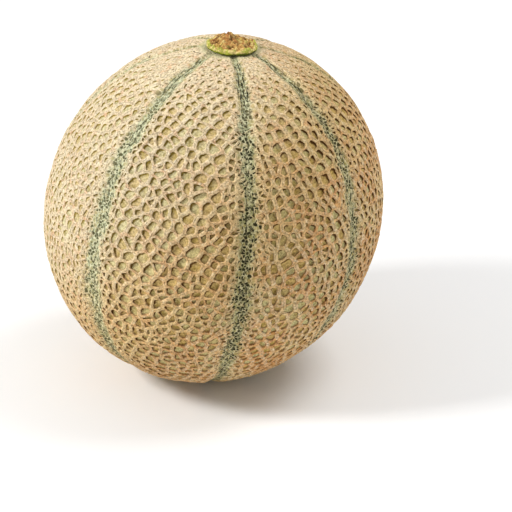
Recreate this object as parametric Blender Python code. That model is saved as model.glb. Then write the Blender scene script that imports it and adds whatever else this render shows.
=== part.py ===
"""A whole netted melon at rest on a small flat spot, with the corky stub of its stem.

Metres, +Z up. The origin lies on the flat resting spot, straight below the centre of the body.
The body is slightly longer than it is wide, and its long axis leans towards +X. The stem axis
leans a little the same way. Front is -Y.
"""

import math

import bmesh
import bpy
import numpy as np
from mathutils import Vector

# Body
HALF_WIDTH = 0.07405          # the two short half axes
HALF_LENGTH = 0.0800          # the long half axis
LONG_AXIS_LEAN = math.radians(31.0)
STEM_LEAN = math.radians(5.8)
REST_CUT = 0.0020             # how far the resting spot is flattened

# Sutures: azimuths about the stem axis, counted from the front towards +X
SUTURES = tuple(math.radians(a) for a in (-97, -44, 10, 54, 99, 140, 180, 219))
NARROWEST_LOBE = math.radians(39)
SUTURE_HALF_WIDTH = 0.0042    # at the equator
SUTURE_DEPTH = 0.0016
SUTURE_START = math.radians(15.0)   # from the stem axis
SUTURE_END = math.radians(161.0)

# Raised net, larger than life
CELL_PITCH = 0.0101
CELL_FILL = 0.83              # area of a cell over its pitch squared
FLANK_REACH = 0.44            # from a furrow's edge to the seeds beside it, in pitches
ROW_JITTER = 0.18             # of the seeds beside a suture, in pitches
REACH_JITTER = 0.12
SCATTER = 0.03                # of the other seeds on the unit sphere, before they are relaxed
RELAXING_ROUNDS = 14
RELAXING_STEP = 0.8
SHORTEST_RIDGE = 0.0016
NET_HEIGHT = 0.0015
RIDGE_HALF_WIDTH = 0.0016
MOST_SLOPE = 0.7              # share of a narrow cell's half width that its slopes may take
PIT_ROUNDNESS = 0.45          # 0 keeps a pit's corners, 1 makes it round
SEAT_FADE = 0.0035            # over which the relief starts beside the stub
MERGED_AT_CUT = 0.00003
FIT_GAP = 0.0003

# Stem stub
STUB_RADIUS = 0.0116
STUB_SEAT_RADIUS = 0.0128
STUB_RIM_HEIGHT = 0.0026
STUB_PEAK_HEIGHT = 0.0043
STUB_SIDES = 36
STUB_KNOB_HEIGHT = 0.0005
STUB_KNOB_PITCH = 0.0034
# from the seat over the rim to the middle: share of the radius, share of the rim's height,
# and how knobbly the cork is there
STUB_PROFILE = (
    (0.90, 0.00, 0.0), (1.00, 0.30, 0.0), (1.02, 0.65, 0.1), (0.93, 1.00, 0.4),
    (0.80, 0.92, 0.9), (0.60, 1.10, 1.0), (0.38, 1.35, 1.0), (0.17, 1.55, 0.8),
)

SEED = 11


def turned_about_y(angle):
    """Unit vector leaning from +Z towards +X by angle."""
    return Vector((math.sin(angle), 0.0, math.cos(angle)))


LONG_AXIS = turned_about_y(LONG_AXIS_LEAN)
STEM_AXIS = turned_about_y(STEM_LEAN)
SIDE_AXIS = turned_about_y(STEM_LEAN + math.pi / 2)
FRONT_AXIS = Vector((0.0, -1.0, 0.0))


def body_radius(direction):
    """Distance from the body's centre to its outer skin along a unit vector."""
    along = direction.dot(LONG_AXIS)
    across = max(0.0, 1.0 - along * along)
    return 1.0 / math.sqrt(across / HALF_WIDTH ** 2 + along ** 2 / HALF_LENGTH ** 2)


def half_height():
    """Half of the body's upright extent before the resting spot is cut."""
    return math.hypot(HALF_LENGTH * LONG_AXIS.z, HALF_WIDTH * LONG_AXIS.x)


CENTRE = Vector((0.0, 0.0, half_height() - REST_CUT))
STEM_POINT = CENTRE + STEM_AXIS * body_radius(STEM_AXIS)


def skin_normal(point):
    """Outward normal of the smooth body at a point on it."""
    arm = point - CENTRE
    along = arm.dot(LONG_AXIS)
    across = arm - LONG_AXIS * along
    return (across / HALF_WIDTH ** 2 + LONG_AXIS * (along / HALF_LENGTH ** 2)).normalized()


SEAT_NORMAL = skin_normal(STEM_POINT)
SEAT_DEPTH = STUB_SEAT_RADIUS ** 2 / (2.0 * HALF_WIDTH)
SEAT_CENTRE = STEM_POINT - SEAT_NORMAL * SEAT_DEPTH


def direction_at(polar, azimuth):
    """Unit vector at an angle from the stem axis and an azimuth from the front."""
    outward = FRONT_AXIS * math.cos(azimuth) + SIDE_AXIS * math.sin(azimuth)
    return STEM_AXIS * math.cos(polar) + outward * math.sin(polar)


def suture_half_width(polar):
    """The furrows are widest at the equator and narrow to both ends."""
    return SUTURE_HALF_WIDTH * (0.30 + 0.70 * math.sin(polar))


def sideways_at(azimuth):
    """Unit vector square to the plane of a suture, towards growing azimuth."""
    return FRONT_AXIS * -math.sin(azimuth) + SIDE_AXIS * math.cos(azimuth)


def flank_reach(polar):
    """Distance from a suture's line to the net seeds beside it, less where sutures crowd."""
    half_lobe = HALF_WIDTH * math.sin(polar) * NARROWEST_LOBE / 2.0
    half_width = suture_half_width(polar)
    return half_width + min(FLANK_REACH * CELL_PITCH, (half_lobe - half_width) / 2.0)


def flank_seeds(rng):
    """Net seeds in mirrored pairs beside each suture, with the suture and side of each."""
    seeds = []
    owners = []
    step = CELL_PITCH / HALF_WIDTH
    rows = round((SUTURE_END - SUTURE_START) / step)
    for suture, azimuth in enumerate(SUTURES):
        for row in range(rows + 1):
            polar = SUTURE_START + (SUTURE_END - SUTURE_START) * row / rows
            polar += step * rng.uniform(-ROW_JITTER, ROW_JITTER)
            reach = flank_reach(polar) / HALF_WIDTH
            reach *= 1.0 + rng.uniform(-REACH_JITTER, REACH_JITTER)
            for side in (-1, 1):
                seed = direction_at(polar, azimuth) + sideways_at(azimuth) * side * reach
                seeds.append(seed.normalized())
                owners.append((suture, side))
    return seeds, owners


def near_suture(spot):
    """True where a unit vector lies in a furrow or among the cells beside it."""
    azimuth = math.atan2(spot.dot(SIDE_AXIS), spot.dot(FRONT_AXIS))
    polar = STEM_AXIS.angle(spot)
    if not SUTURE_START < polar < SUTURE_END:
        return False
    reach = (flank_reach(polar) + FLANK_REACH * CELL_PITCH) / HALF_WIDTH
    for suture in SUTURES:
        turn = azimuth - suture
        if math.cos(turn) > 0.0 and abs(math.sin(turn)) * math.sin(polar) < reach:
            return True
    return False


def free_seeds(flanks, rng):
    """Evenly spread net seeds that keep clear of the flanking ones."""
    count = round(4.0 * math.pi * HALF_WIDTH * HALF_LENGTH / (CELL_PITCH ** 2 * CELL_FILL))
    golden = math.pi * (3.0 - math.sqrt(5.0))
    fixed = np.array(flanks)
    nearest_allowed = math.cos(0.6 * CELL_PITCH / HALF_WIDTH)
    seeds = []
    for i in range(count):
        height = 1.0 - (2.0 * i + 1.0) / count
        ring = math.sqrt(1.0 - height * height)
        spot = Vector((ring * math.cos(i * golden), ring * math.sin(i * golden), height))
        spot = (spot + Vector(rng.uniform(-SCATTER, SCATTER, 3))).normalized()
        if not near_suture(spot) and (fixed @ np.array(spot)).max() < nearest_allowed:
            seeds.append(spot)
    return seeds


def net_cells(seeds):
    """Corners of the net on the unit sphere, and the ring of corners round each seed."""
    bm = bmesh.new()
    for seed in seeds:
        bm.verts.new(seed)
    bm.verts.ensure_lookup_table()
    bm.verts.index_update()
    bmesh.ops.convex_hull(bm, input=bm.verts)
    bmesh.ops.recalc_face_normals(bm, faces=bm.faces)
    bm.faces.ensure_lookup_table()
    bm.faces.index_update()
    corners = [face.normal.copy() for face in bm.faces]
    rings = []
    for vert in bm.verts:
        ring = []
        first = vert.link_loops[0]
        loop = first
        while True:
            ring.append(loop.face.index)
            loop = loop.link_loop_prev.link_loop_radial_next
            if loop is first:
                break
        rings.append(ring)
    bm.free()
    return corners, rings


def relaxed(seeds, fixed_count):
    """Moves the free seeds to the middle of their cells a few times."""
    seeds = list(seeds)
    for _ in range(RELAXING_ROUNDS):
        corners, rings = net_cells(seeds)
        for i in range(fixed_count, len(seeds)):
            middle = Vector()
            for corner in rings[i]:
                middle += corners[corner]
            seeds[i] = seeds[i].lerp(middle.normalized(), RELAXING_STEP).normalized()
    return seeds


def merged_corners(corners, rings):
    """Joins the ends of ridges that would be too short."""
    parent = list(range(len(corners)))

    def root(i):
        while parent[i] != i:
            i = parent[i]
        return i

    shortest = SHORTEST_RIDGE / HALF_WIDTH
    for ring in rings:
        for a, b in zip(ring, ring[1:] + ring[:1]):
            if (corners[a] - corners[b]).length < shortest:
                parent[root(a)] = root(b)
    groups = {}
    for i in range(len(corners)):
        groups.setdefault(root(i), []).append(i)
    places = {}
    for key, members in groups.items():
        middle = Vector()
        for i in members:
            middle += corners[i]
        places[key] = middle.normalized()
    clean = []
    for ring in rings:
        keys = [root(i) for i in ring]
        clean.append([k for k, before in zip(keys, keys[-1:] + keys[:-1]) if k != before])
    return places, clean


def relief_share(direction):
    """1 over most of the skin, fading to 0 at the stub's seat and at the resting spot."""
    point = CENTRE + direction * body_radius(direction)
    past_seat = ((point - STEM_POINT).length - STUB_SEAT_RADIUS) / SEAT_FADE
    above_spot = (point.z - REST_CUT * 0.5) / REST_CUT
    return max(0.0, min(1.0, past_seat, above_spot))


def placed(direction, depth):
    """Point on the skin along a unit vector, sunk by a depth that fades out at both ends."""
    return CENTRE + direction * (body_radius(direction) - depth * relief_share(direction))


def pit_floor(spots):
    """Corners of a pit's floor on the unit sphere, drawn in from its ridges, and its depth."""
    middle = sum(spots, Vector()) / len(spots)
    room = min(
        ((a + b) / 2.0 - middle).length * HALF_WIDTH for a, b in zip(spots, spots[1:] + spots[:1])
    )
    slope = min(RIDGE_HALF_WIDTH, MOST_SLOPE * room)
    reaches = [(spot - middle).length for spot in spots]
    mean_reach = sum(reaches) / len(reaches)
    floor = []
    for spot, reach in zip(spots, reaches):
        rounded = reach + (mean_reach - reach) * PIT_ROUNDNESS
        share = rounded / reach * (1.0 - slope / room)
        floor.append((middle + (spot - middle) * share).normalized())
    return floor, NET_HEIGHT * slope / RIDGE_HALF_WIDTH


class Net:
    """The cells of the net on the unit sphere, split apart along each suture."""

    def __init__(self):
        rng = np.random.default_rng(SEED)
        flanks, self.owners = flank_seeds(rng)
        seeds = relaxed(flanks + free_seeds(flanks, rng), len(flanks))
        self.places, self.rings = merged_corners(*net_cells(seeds))
        self.cells_at = {}
        for cell, ring in enumerate(self.rings):
            for key in ring:
                self.cells_at.setdefault(key, []).append(cell)

    def mirrored(self, cell, other):
        """True for two cells that face each other across a suture."""
        if max(cell, other) >= len(self.owners):
            return False
        suture, side = self.owners[cell]
        return self.owners[other] == (suture, -side)

    def on_suture(self, key):
        """True for a corner where only the cells beside one suture meet."""
        cells = self.cells_at[key]
        if max(cells) >= len(self.owners):
            return False
        return len({self.owners[cell][0] for cell in cells}) == 1 and any(
            self.mirrored(cells[0], other) for other in cells
        )

    def faces_suture(self, cell, key, after):
        """True for an edge of a cell that runs along a suture."""
        shared = set(self.cells_at[key]) & set(self.cells_at[after])
        return any(self.mirrored(cell, other) for other in shared)

    def bank(self, key, cell):
        """The ridge corner beside a suture's corner, on the cell's side."""
        suture, side = self.owners[cell]
        polar = STEM_AXIS.angle(self.places[key])
        shift = side * suture_half_width(polar) / HALF_WIDTH
        return (self.places[key] + sideways_at(SUTURES[suture]) * shift).normalized()


def cut_flat(bm, point, outward):
    """Takes off what lies beyond a plane and closes the cut with one flat face."""
    everything = bm.verts[:] + bm.edges[:] + bm.faces[:]
    bmesh.ops.bisect_plane(
        bm, geom=everything, dist=MERGED_AT_CUT, plane_co=point, plane_no=outward,
        clear_outer=True,
    )
    rim = [edge for edge in bm.edges if edge.is_boundary]
    bmesh.ops.holes_fill(bm, edges=rim, sides=0)


def melon_mesh():
    """One closed body: pits sunk between raised ridges, with a furrow along each suture."""
    net = Net()
    bm = bmesh.new()
    verts = {}

    def vert(key, spot, depth):
        if key not in verts:
            verts[key] = bm.verts.new(placed(spot, depth))
        return verts[key]

    def furrow_vert(key):
        depth = SUTURE_DEPTH if net.on_suture(key) else 0.0
        return vert(key, net.places[key], depth)

    for cell, ring in enumerate(net.rings):
        spots = []
        ridge = []
        for key in ring:
            if net.on_suture(key):
                spots.append(net.bank(key, cell))
                ridge.append(vert((key, net.owners[cell][1]), spots[-1], 0.0))
            else:
                spots.append(net.places[key])
                ridge.append(vert(key, spots[-1], 0.0))
        feet, depth = pit_floor(spots)
        floor = [bm.verts.new(placed(foot, depth)) for foot in feet]
        bm.faces.new(floor)
        for i in range(len(ring)):
            j = (i + 1) % len(ring)
            bm.faces.new((ridge[i], ridge[j], floor[j], floor[i]))
            if net.faces_suture(cell, ring[i], ring[j]):
                bottom = (furrow_vert(ring[i]), furrow_vert(ring[j]))
                bank_face = list(dict.fromkeys((*bottom, ridge[j], ridge[i])))
                if len(bank_face) > 2:
                    bm.faces.new(bank_face)

    cut_flat(bm, Vector(), Vector((0.0, 0.0, -1.0)))
    cut_flat(bm, SEAT_CENTRE, SEAT_NORMAL)
    bmesh.ops.triangulate(bm, faces=bm.faces[:])
    return bm


def scallop(turn):
    """The stub's rim bulges between the places where the sutures reach it."""
    return 0.035 * math.sin(9.0 * turn + 0.7) + 0.025 * math.sin(5.0 * turn)


def knobs(x, y):
    """Height of the cork's lumps, from -1 to 1."""
    wave = 2.0 * math.pi / STUB_KNOB_PITCH
    return math.sin(wave * x + 1.3 * math.sin(0.6 * wave * y)) * math.cos(wave * y + 0.8)


def stub_mesh():
    """A low corky disc with a scalloped rim and a knobbly, raised middle."""
    bm = bmesh.new()
    across = SEAT_NORMAL.cross(FRONT_AXIS).normalized()
    ahead = SEAT_NORMAL.cross(across)

    def stub_vert(x, y, height):
        lift = SEAT_NORMAL * (FIT_GAP + height)
        return bm.verts.new(SEAT_CENTRE + across * x + ahead * y + lift)

    rings = []
    for reach, rise, knobbly in STUB_PROFILE:
        ring = []
        for side in range(STUB_SIDES):
            turn = 2.0 * math.pi * side / STUB_SIDES
            radius = STUB_RADIUS * reach * (1.0 + scallop(turn))
            x = radius * math.cos(turn)
            y = radius * math.sin(turn)
            height = STUB_RIM_HEIGHT * rise + STUB_KNOB_HEIGHT * knobbly * knobs(x, y)
            ring.append(stub_vert(x, y, height))
        rings.append(ring)
    bm.faces.new(rings[0][::-1])
    peak = stub_vert(0.0, 0.0, STUB_PEAK_HEIGHT)
    for lower, upper in zip(rings, rings[1:]):
        for i in range(STUB_SIDES):
            j = (i + 1) % STUB_SIDES
            bm.faces.new((lower[i], lower[j], upper[j], upper[i]))
    for i in range(STUB_SIDES):
        bm.faces.new((rings[-1][i], rings[-1][(i + 1) % STUB_SIDES], peak))
    bmesh.ops.triangulate(bm, faces=bm.faces[:])
    return bm


def material(name, colour, roughness):
    made = bpy.data.materials.new(name)
    made.use_nodes = True
    shader = made.node_tree.nodes["Principled BSDF"]
    shader.inputs["Base Color"].default_value = (*colour, 1.0)
    shader.inputs["Roughness"].default_value = roughness
    shader.inputs["Metallic"].default_value = 0.0
    return made


def add_object(name, bm, finish):
    mesh = bpy.data.meshes.new(name)
    bm.to_mesh(mesh)
    bm.free()
    mesh.shade_smooth()
    mesh.set_sharp_from_angle(angle=math.radians(60.0))
    mesh.materials.append(finish)
    made = bpy.data.objects.new(name, mesh)
    bpy.context.scene.collection.objects.link(made)
    return made


def main():
    for old in list(bpy.data.objects):
        bpy.data.objects.remove(old)
    add_object("melon_body", melon_mesh(), material("netted_rind", (0.62, 0.50, 0.33), 0.75))
    add_object("stem_stub", stub_mesh(), material("stem_cork", (0.45, 0.36, 0.14), 0.85))


main()
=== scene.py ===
"""The dressed melon: rind with its cork net, green suture bands and the cork stub of the stem.

Metres, +Z up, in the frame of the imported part. The rind is a web of small cells on the body's
skin: each cell is a pit between raised strands, and the cells in the suture bands are thin slits.
"""

import math

import bmesh
import bpy
import numpy as np
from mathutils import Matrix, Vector, noise


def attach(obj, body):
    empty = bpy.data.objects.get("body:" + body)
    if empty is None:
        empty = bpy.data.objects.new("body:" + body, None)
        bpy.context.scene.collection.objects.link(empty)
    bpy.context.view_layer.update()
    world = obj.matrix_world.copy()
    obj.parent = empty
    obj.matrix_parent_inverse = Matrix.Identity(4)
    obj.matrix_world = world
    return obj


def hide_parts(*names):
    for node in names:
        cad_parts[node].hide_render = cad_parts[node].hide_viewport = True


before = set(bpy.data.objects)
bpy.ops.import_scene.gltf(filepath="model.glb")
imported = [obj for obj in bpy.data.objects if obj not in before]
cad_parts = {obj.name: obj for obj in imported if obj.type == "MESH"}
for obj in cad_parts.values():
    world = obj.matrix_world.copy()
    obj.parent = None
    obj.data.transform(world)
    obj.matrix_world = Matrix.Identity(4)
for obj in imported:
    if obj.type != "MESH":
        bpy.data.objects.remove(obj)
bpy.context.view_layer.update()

# Body, with the same form as the frame's solid
HALF_WIDTH = 0.07405
HALF_LENGTH = 0.0800
LONG_AXIS_LEAN = math.radians(31.0)
STEM_LEAN = math.radians(5.8)
REST_CUT = 0.0020

# Sutures: azimuth about the stem axis from the front towards +X, share of the full width,
# and how dark their flecks are
SUTURES = (
    (-97, 0.95, 0.40), (-44, 1.35, 0.66), (10, 1.35, 1.00), (54, 1.10, 0.80),
    (99, 0.90, 0.50), (140, 1.10, 0.60), (180, 1.20, 0.85), (219, 1.05, 0.50),
)
SUTURE_HALF_WIDTH = 0.0033
SUTURE_DEPTH = 0.0013
SUTURE_START = math.radians(9.0)
SUTURE_END = math.radians(163.0)
SUTURE_SWING = 0.0007         # how far a suture wanders to its sides
SUTURE_FADE = (-0.10, 0.05)   # angles before and after its end over which its valley fades
VALLEY_REACH = 1.7            # half width of the sunken valley, in half widths of the band
FLECK_REACH = 1.20            # the same for the strip of fine cells
FLECK_ALONG = 0.0019
FLECK_ACROSS = 0.00092
FLECK_DEPTH = 0.00050
FLECK_RIDGE = 0.00018
FLECKS_LEFT_OUT = (0.05, 0.60)   # share along the middle of a band, and more at its sides
FEWEST_COLUMNS = 4

# Fields of the net, each on from a suture: distance between its long strands, how steeply they
# climb, how wide they are, and how deep the pits are
FIELDS = (
    (0.0042, 64, 1.30, 0.60), (0.0053, 62, 1.00, 1.0), (0.0050, 118, 1.08, 1.0),
    (0.0046, 120, 1.08, 0.8), (0.0050, 60, 1.00, 1.0), (0.0048, 57, 1.05, 0.9),
    (0.0052, 118, 1.00, 1.0), (0.0046, 60, 1.15, 0.8),
)
ROW_HOLD = 0.72               # how fully the pits keep to the rows between the long strands
ROW_WANDER = 0.0030
ROW_WANDER_PITCH = 0.013
ROWS_FADE_IN = (0.30, 0.65)   # angles from the stem axis
ROWS_FADE_OUT = (2.60, 2.85)
# Pits: distance apart, darts thrown and how far out from a suture, in half widths of the band
PIT_SIZES = ((0.0054, 14000, 99.0), (0.0040, 42000, 99.0), (0.0027, 50000, 2.1))
PIT_SPREAD = (0.78, 1.22)     # of the distances apart
PIT_SHARE_BY_STEM = 0.64      # of the distances apart, which grow to 1 away from the stem
PIT_GROWTH = (0.3, 1.1)
PIT_PACKING = 0.86
BAND_EDGE_SPREAD = (0.70, 1.05)
BAND_EDGE_GAP = 0.22          # from a band's edge to the first pits, in their distance apart
RELAXING_ROUNDS = 1
RELAXING_STEP = 0.32
HOLE_SHARE = 0.24             # of the net's corners, opened to a small hole
HOLES_APART = 0.0036
HOLES_FADE_IN = (0.8, 1.1)
STRAND = 0.00071              # half width of a strand
CROSS_STRAND_SHARE = 0.48     # of it on a strand that crosses the long ones
LONG_STRAND_SHARE = 0.70      # added to that on a strand that follows them
CROSS_STRAND_SINK = 0.00042
STRAND_GROOVE = 0.00014
CORNER_SINK = 0.00007
CORNER_STRAND = 0.6           # how far a corner counts as part of a long strand
NET_DEPTH = 0.00120
WALL_RUN = 0.00007
LEAST_REACH = 0.00015
LEAST_DEPTH = 0.00010
STEEPEST_PIT = 1.30           # depth over reach
WIDE_CELL = 0.00135           # mean reach from which a cell in a band is a pit like the net's
BAND_MIDDLE = 0.70            # share of a band's half width where every cell is its own
SHORTEST_NET_RIDGE = 0.00045
SHORTEST_BAND_RIDGE = 0.00020
RIDGE_STEP = 0.0012           # a ridge has a point about this often
PIT_ROUNDNESS = 5.5           # lower is rounder
FINE_BEND = 0.00030           # how far the net's corners are moved about
FINE_BEND_PITCH = 0.0026
BROAD_BEND = 0.0010
BROAD_BEND_PITCH = 0.010
LUMP_HEIGHT = 0.00032
LUMP_PITCH = 0.015
GRIT_HEIGHT = 0.00012
GRIT_PITCH = 0.0035

# The pale side, up and to the left where the key light falls, and the distances over which it grows
# pale: partly the rind's own colour and partly painted light
PALE_SIDE = (-0.70, 0.0, 0.72)
PALE_ZONE = (-0.055, 0.075)

# Ends of the body
STEM_ZONE = (0.20, 0.80)      # angles from the stem axis
COLLAR = (0.0122, 0.0148)     # distances from the middle of the stub's seat
GROUND_ZONE = (26.0, 12.0)    # degrees from straight down
GROUND_FLATTENING = 0.6
SCAR_RADIUS = 0.0045
SCAR_WIDTH = 0.0012

# Side of each pit that gets painted shade: to the left by the front, and turned by the second
# value over to the right between these azimuths
PAINTED_SHADE_ASIDE = (-0.75, 1.35)
PAINTED_SHADE_UP = 0.65
PAINTED_SHADE_TURNS = (0.26, 0.80)
PAINTED_SHADE_TURNS_BACK = (2.6, 3.1)

# Steps of the "rise" attribute, from the middle of a strand down into the pit
AT_CREST = 0.0
AT_SHOULDER = 0.18
AT_RIM = 0.35
AT_FOOT = 0.70
AT_MIDDLE = 1.0

# Stem stub
STUB_RADIUS = 0.0116
STUB_SEAT_RADIUS = 0.0128
STUB_GAP = 0.0003
STUB_RIM_HEIGHT = 0.0024
STUB_SIDES = 192
STUB_RINGS = 60
STUB_PLATE = 0.0027
STUB_CRACK_DEPTH = 0.0011
STUB_PEAK = 0.0024
STUB_PEAK_PLACE = (-0.0010, 0.0020)
STUB_PEAK_REACH = 0.0042
STUB_WARP = 0.0012
STUB_WARP_PITCH = 0.0035
STUB_FOLD = 0.0008
STUB_FOLD_PITCH = 0.0030
STUB_GRAIN = 0.0003
STUB_GRAIN_PITCH = 0.0012
STUB_SWELL = 0.22             # shares of the height
STUB_SWELL_PITCH = 0.0040
STUB_KNOBS = 0.30
STUB_KNOB_PITCH = 0.0019
STUB_LOBES = 9
STUB_SEAT_STRIP = 0.12        # share of the stub's image that its underside takes
STUB_SHIFT = Vector((3.1, 7.7, 1.9))
# From the seat over the rim to the middle: share of the radius, share of the rim's height,
# how cracked the cork is there and how lobed the edge is
STUB_PROFILE = (
    (0.90, 0.00, 0.0, 1.0), (0.97, 0.15, 0.0, 1.0), (1.00, 0.45, 0.0, 1.0),
    (0.97, 0.75, 0.1, 1.0), (0.92, 0.93, 0.4, 0.9), (0.86, 0.98, 0.7, 0.6),
    (0.78, 0.97, 0.9, 0.3), (0.67, 1.00, 1.0, 0.1), (0.54, 1.06, 1.0, 0.0),
    (0.42, 1.15, 1.0, 0.0), (0.30, 1.25, 1.0, 0.0), (0.16, 1.30, 1.0, 0.0),
    (0.03, 1.32, 1.0, 0.0),
)

# Camera and light
VIEW_ELEVATION = math.radians(25.2)
VIEW_DISTANCE = 1.2
FOCAL_PIXELS = 2690.6
IMAGE_PIXELS = 512
SENSOR = 0.036
NEAREST_SEEN = 0.05
BODY_PIXEL = (213.7, 208.6)   # where the body's centre falls in the image
# Place, size, power and colour of each light
LIGHTS = {
    "key": ((-1.03, -0.26, 0.88), 0.34, 14.7, (0.985, 0.985, 0.985)),
    "top": ((0.60, 0.14, 1.06), 0.60, 7.3, (1.0, 1.0, 1.0)),
}
WORLD_STRENGTH = 0.47
FLOOR_REACH = 6.0
FLOOR_COLOUR = (0.95, 0.95, 0.95, 1.0)
FLOOR_ROUGHNESS = 0.9

SEED = 23

rng = np.random.default_rng(SEED)
noise.seed_set(SEED)          # the noise vectors' offsets are drawn too


def turned_about_y(angle):
    """Unit vector leaning from +Z towards +X by angle."""
    return np.array((math.sin(angle), 0.0, math.cos(angle)))


LONG_AXIS = turned_about_y(LONG_AXIS_LEAN)
STEM_AXIS = turned_about_y(STEM_LEAN)
SIDE_AXIS = turned_about_y(STEM_LEAN + math.pi / 2)
FRONT_AXIS = np.array((0.0, -1.0, 0.0))
AZIMUTHS = np.radians([row[0] for row in SUTURES])
WIDTH_SHARES = np.array([row[1] for row in SUTURES])
DARKNESS = np.array([row[2] for row in SUTURES])
FIELD_STARTS = AZIMUTHS - AZIMUTHS[0]
FIELD_ENDS = np.append(FIELD_STARTS[1:], 2.0 * math.pi)
ROW_PITCHES = np.array([row[0] for row in FIELDS])
STRAND_ANGLES = np.radians([row[1] for row in FIELDS])
STRAND_SHARES = np.array([row[2] for row in FIELDS])
DEPTH_SHARES = np.array([row[3] for row in FIELDS])
HALF_HEIGHT = math.hypot(HALF_LENGTH * LONG_AXIS[2], HALF_WIDTH * LONG_AXIS[0])
CENTRE = np.array((0.0, 0.0, HALF_HEIGHT - REST_CUT))


def unit(rows):
    return rows / np.linalg.norm(rows, axis=-1, keepdims=True)


def body_radius(spots):
    """Distance from the body's centre to its outer skin along unit vectors."""
    along = spots @ LONG_AXIS
    across = np.maximum(0.0, 1.0 - along ** 2)
    return 1.0 / np.sqrt(across / HALF_WIDTH ** 2 + along ** 2 / HALF_LENGTH ** 2)


STEM_POINT = CENTRE + STEM_AXIS * body_radius(STEM_AXIS)


def skin_normal(point):
    arm = point - CENTRE
    along = arm @ LONG_AXIS
    across = arm - LONG_AXIS * along
    return unit(across / HALF_WIDTH ** 2 + LONG_AXIS * (along / HALF_LENGTH ** 2))


SEAT_NORMAL = skin_normal(STEM_POINT)
SEAT_CENTRE = STEM_POINT - SEAT_NORMAL * (STUB_SEAT_RADIUS ** 2 / (2.0 * HALF_WIDTH))


def smooth_step(low, high, value):
    share = np.clip((value - low) / (high - low), 0.0, 1.0)
    return share * share * (3.0 - 2.0 * share)


def wrapped(angles):
    return (angles + math.pi) % (2.0 * math.pi) - math.pi


def direction_at(polar, azimuth):
    """Unit vector at an angle from the stem axis and an azimuth from the front."""
    outward = FRONT_AXIS * math.cos(azimuth) + SIDE_AXIS * math.sin(azimuth)
    return STEM_AXIS * math.cos(polar) + outward * math.sin(polar)


def polar_of(spots):
    return np.arccos(np.clip(spots @ STEM_AXIS, -1.0, 1.0))


def azimuth_of(spots):
    return np.arctan2(spots @ SIDE_AXIS, spots @ FRONT_AXIS)


def suture_swing(polar, suture):
    """How far a suture lies to the side of its straight path."""
    swing = 0.6 * np.sin(9.0 * polar + 2.1 * suture) + 0.4 * np.sin(23.0 * polar + suture)
    return SUTURE_SWING * swing


def near_sutures(spots):
    """For unit vectors: polar angle, number of the nearest suture, distance across it."""
    polar = polar_of(spots)
    turn = wrapped(azimuth_of(spots)[:, None] - AZIMUTHS)
    nearest = np.abs(turn).argmin(axis=1)
    turn = np.take_along_axis(turn, nearest[:, None], axis=1)[:, 0]
    across = np.sin(turn) * np.sin(polar) * HALF_WIDTH - suture_swing(polar, nearest)
    return polar, nearest, across


def field_of(spots):
    """For unit vectors: number of the field of the net and the turn from its middle."""
    turn = (azimuth_of(spots) - AZIMUTHS[0]) % (2.0 * math.pi)
    field = np.searchsorted(FIELD_STARTS, turn, side="right") - 1
    return field, turn - 0.5 * (FIELD_STARTS[field] + FIELD_ENDS[field])


def band_half_width(polar, suture):
    """Half width of a suture band, which swells and shrinks and narrows to both ends."""
    swell = 1.0 + 0.12 * np.sin(14.0 * polar + 1.7 * suture)
    swell += 0.08 * np.sin(31.0 * polar + suture)
    return SUTURE_HALF_WIDTH * WIDTH_SHARES[suture] * (0.16 + 0.84 * np.sin(polar)) * swell


def near_stem(polar):
    """1 at the stem, fading out round it."""
    return 1.0 - smooth_step(*STEM_ZONE, polar)


def painted_shade_side(heading, azimuth):
    """1 on the side of a pit that gets painted shade: upwards, and away from the front."""
    turned = smooth_step(*PAINTED_SHADE_TURNS, azimuth) * (1.0 - smooth_step(*PAINTED_SHADE_TURNS_BACK, azimuth))
    painted_shade = np.array((PAINTED_SHADE_ASIDE[0] + PAINTED_SHADE_ASIDE[1] * turned, PAINTED_SHADE_UP))
    return smooth_step(-0.1, 0.8, heading @ painted_shade)


def near_ground(spots):
    """1 on the flat resting spot, fading out round it."""
    return smooth_step(*np.cos(np.radians(GROUND_ZONE)), -spots[:, 2])


def soft_noise(spots, pitch):
    return np.array([noise.noise(Vector(spot * HALF_WIDTH / pitch)) for spot in spots])


def skin_points(spots, sink):
    """Points on the net's outer skin along unit vectors, sunk by a depth."""
    polar, suture, across = near_sutures(spots)
    valley_half = VALLEY_REACH * band_half_width(polar, suture)
    profile = np.clip(1.0 - (across / valley_half) ** 2, 0.0, 1.0) ** 2
    end_fade = 1.0 - smooth_step(SUTURE_END + SUTURE_FADE[0], SUTURE_END + SUTURE_FADE[1], polar)
    valley = SUTURE_DEPTH * profile * end_fade
    grit = GRIT_HEIGHT * soft_noise(spots, GRIT_PITCH)
    lumps = LUMP_HEIGHT * soft_noise(spots, LUMP_PITCH) + grit
    sink = sink * (1.0 - GROUND_FLATTENING * near_ground(spots))
    radius = body_radius(spots) - valley - sink + lumps
    points = CENTRE + spots * radius[:, None]
    above_seat = (points - SEAT_CENTRE) @ SEAT_NORMAL
    under_stub = np.linalg.norm(points - SEAT_CENTRE, axis=1) < STUB_SEAT_RADIUS * 1.02
    points -= np.outer(np.where(under_stub, np.maximum(0.0, above_seat), 0.0), SEAT_NORMAL)
    points[:, 2] = np.maximum(points[:, 2], 0.0)
    return points


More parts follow.
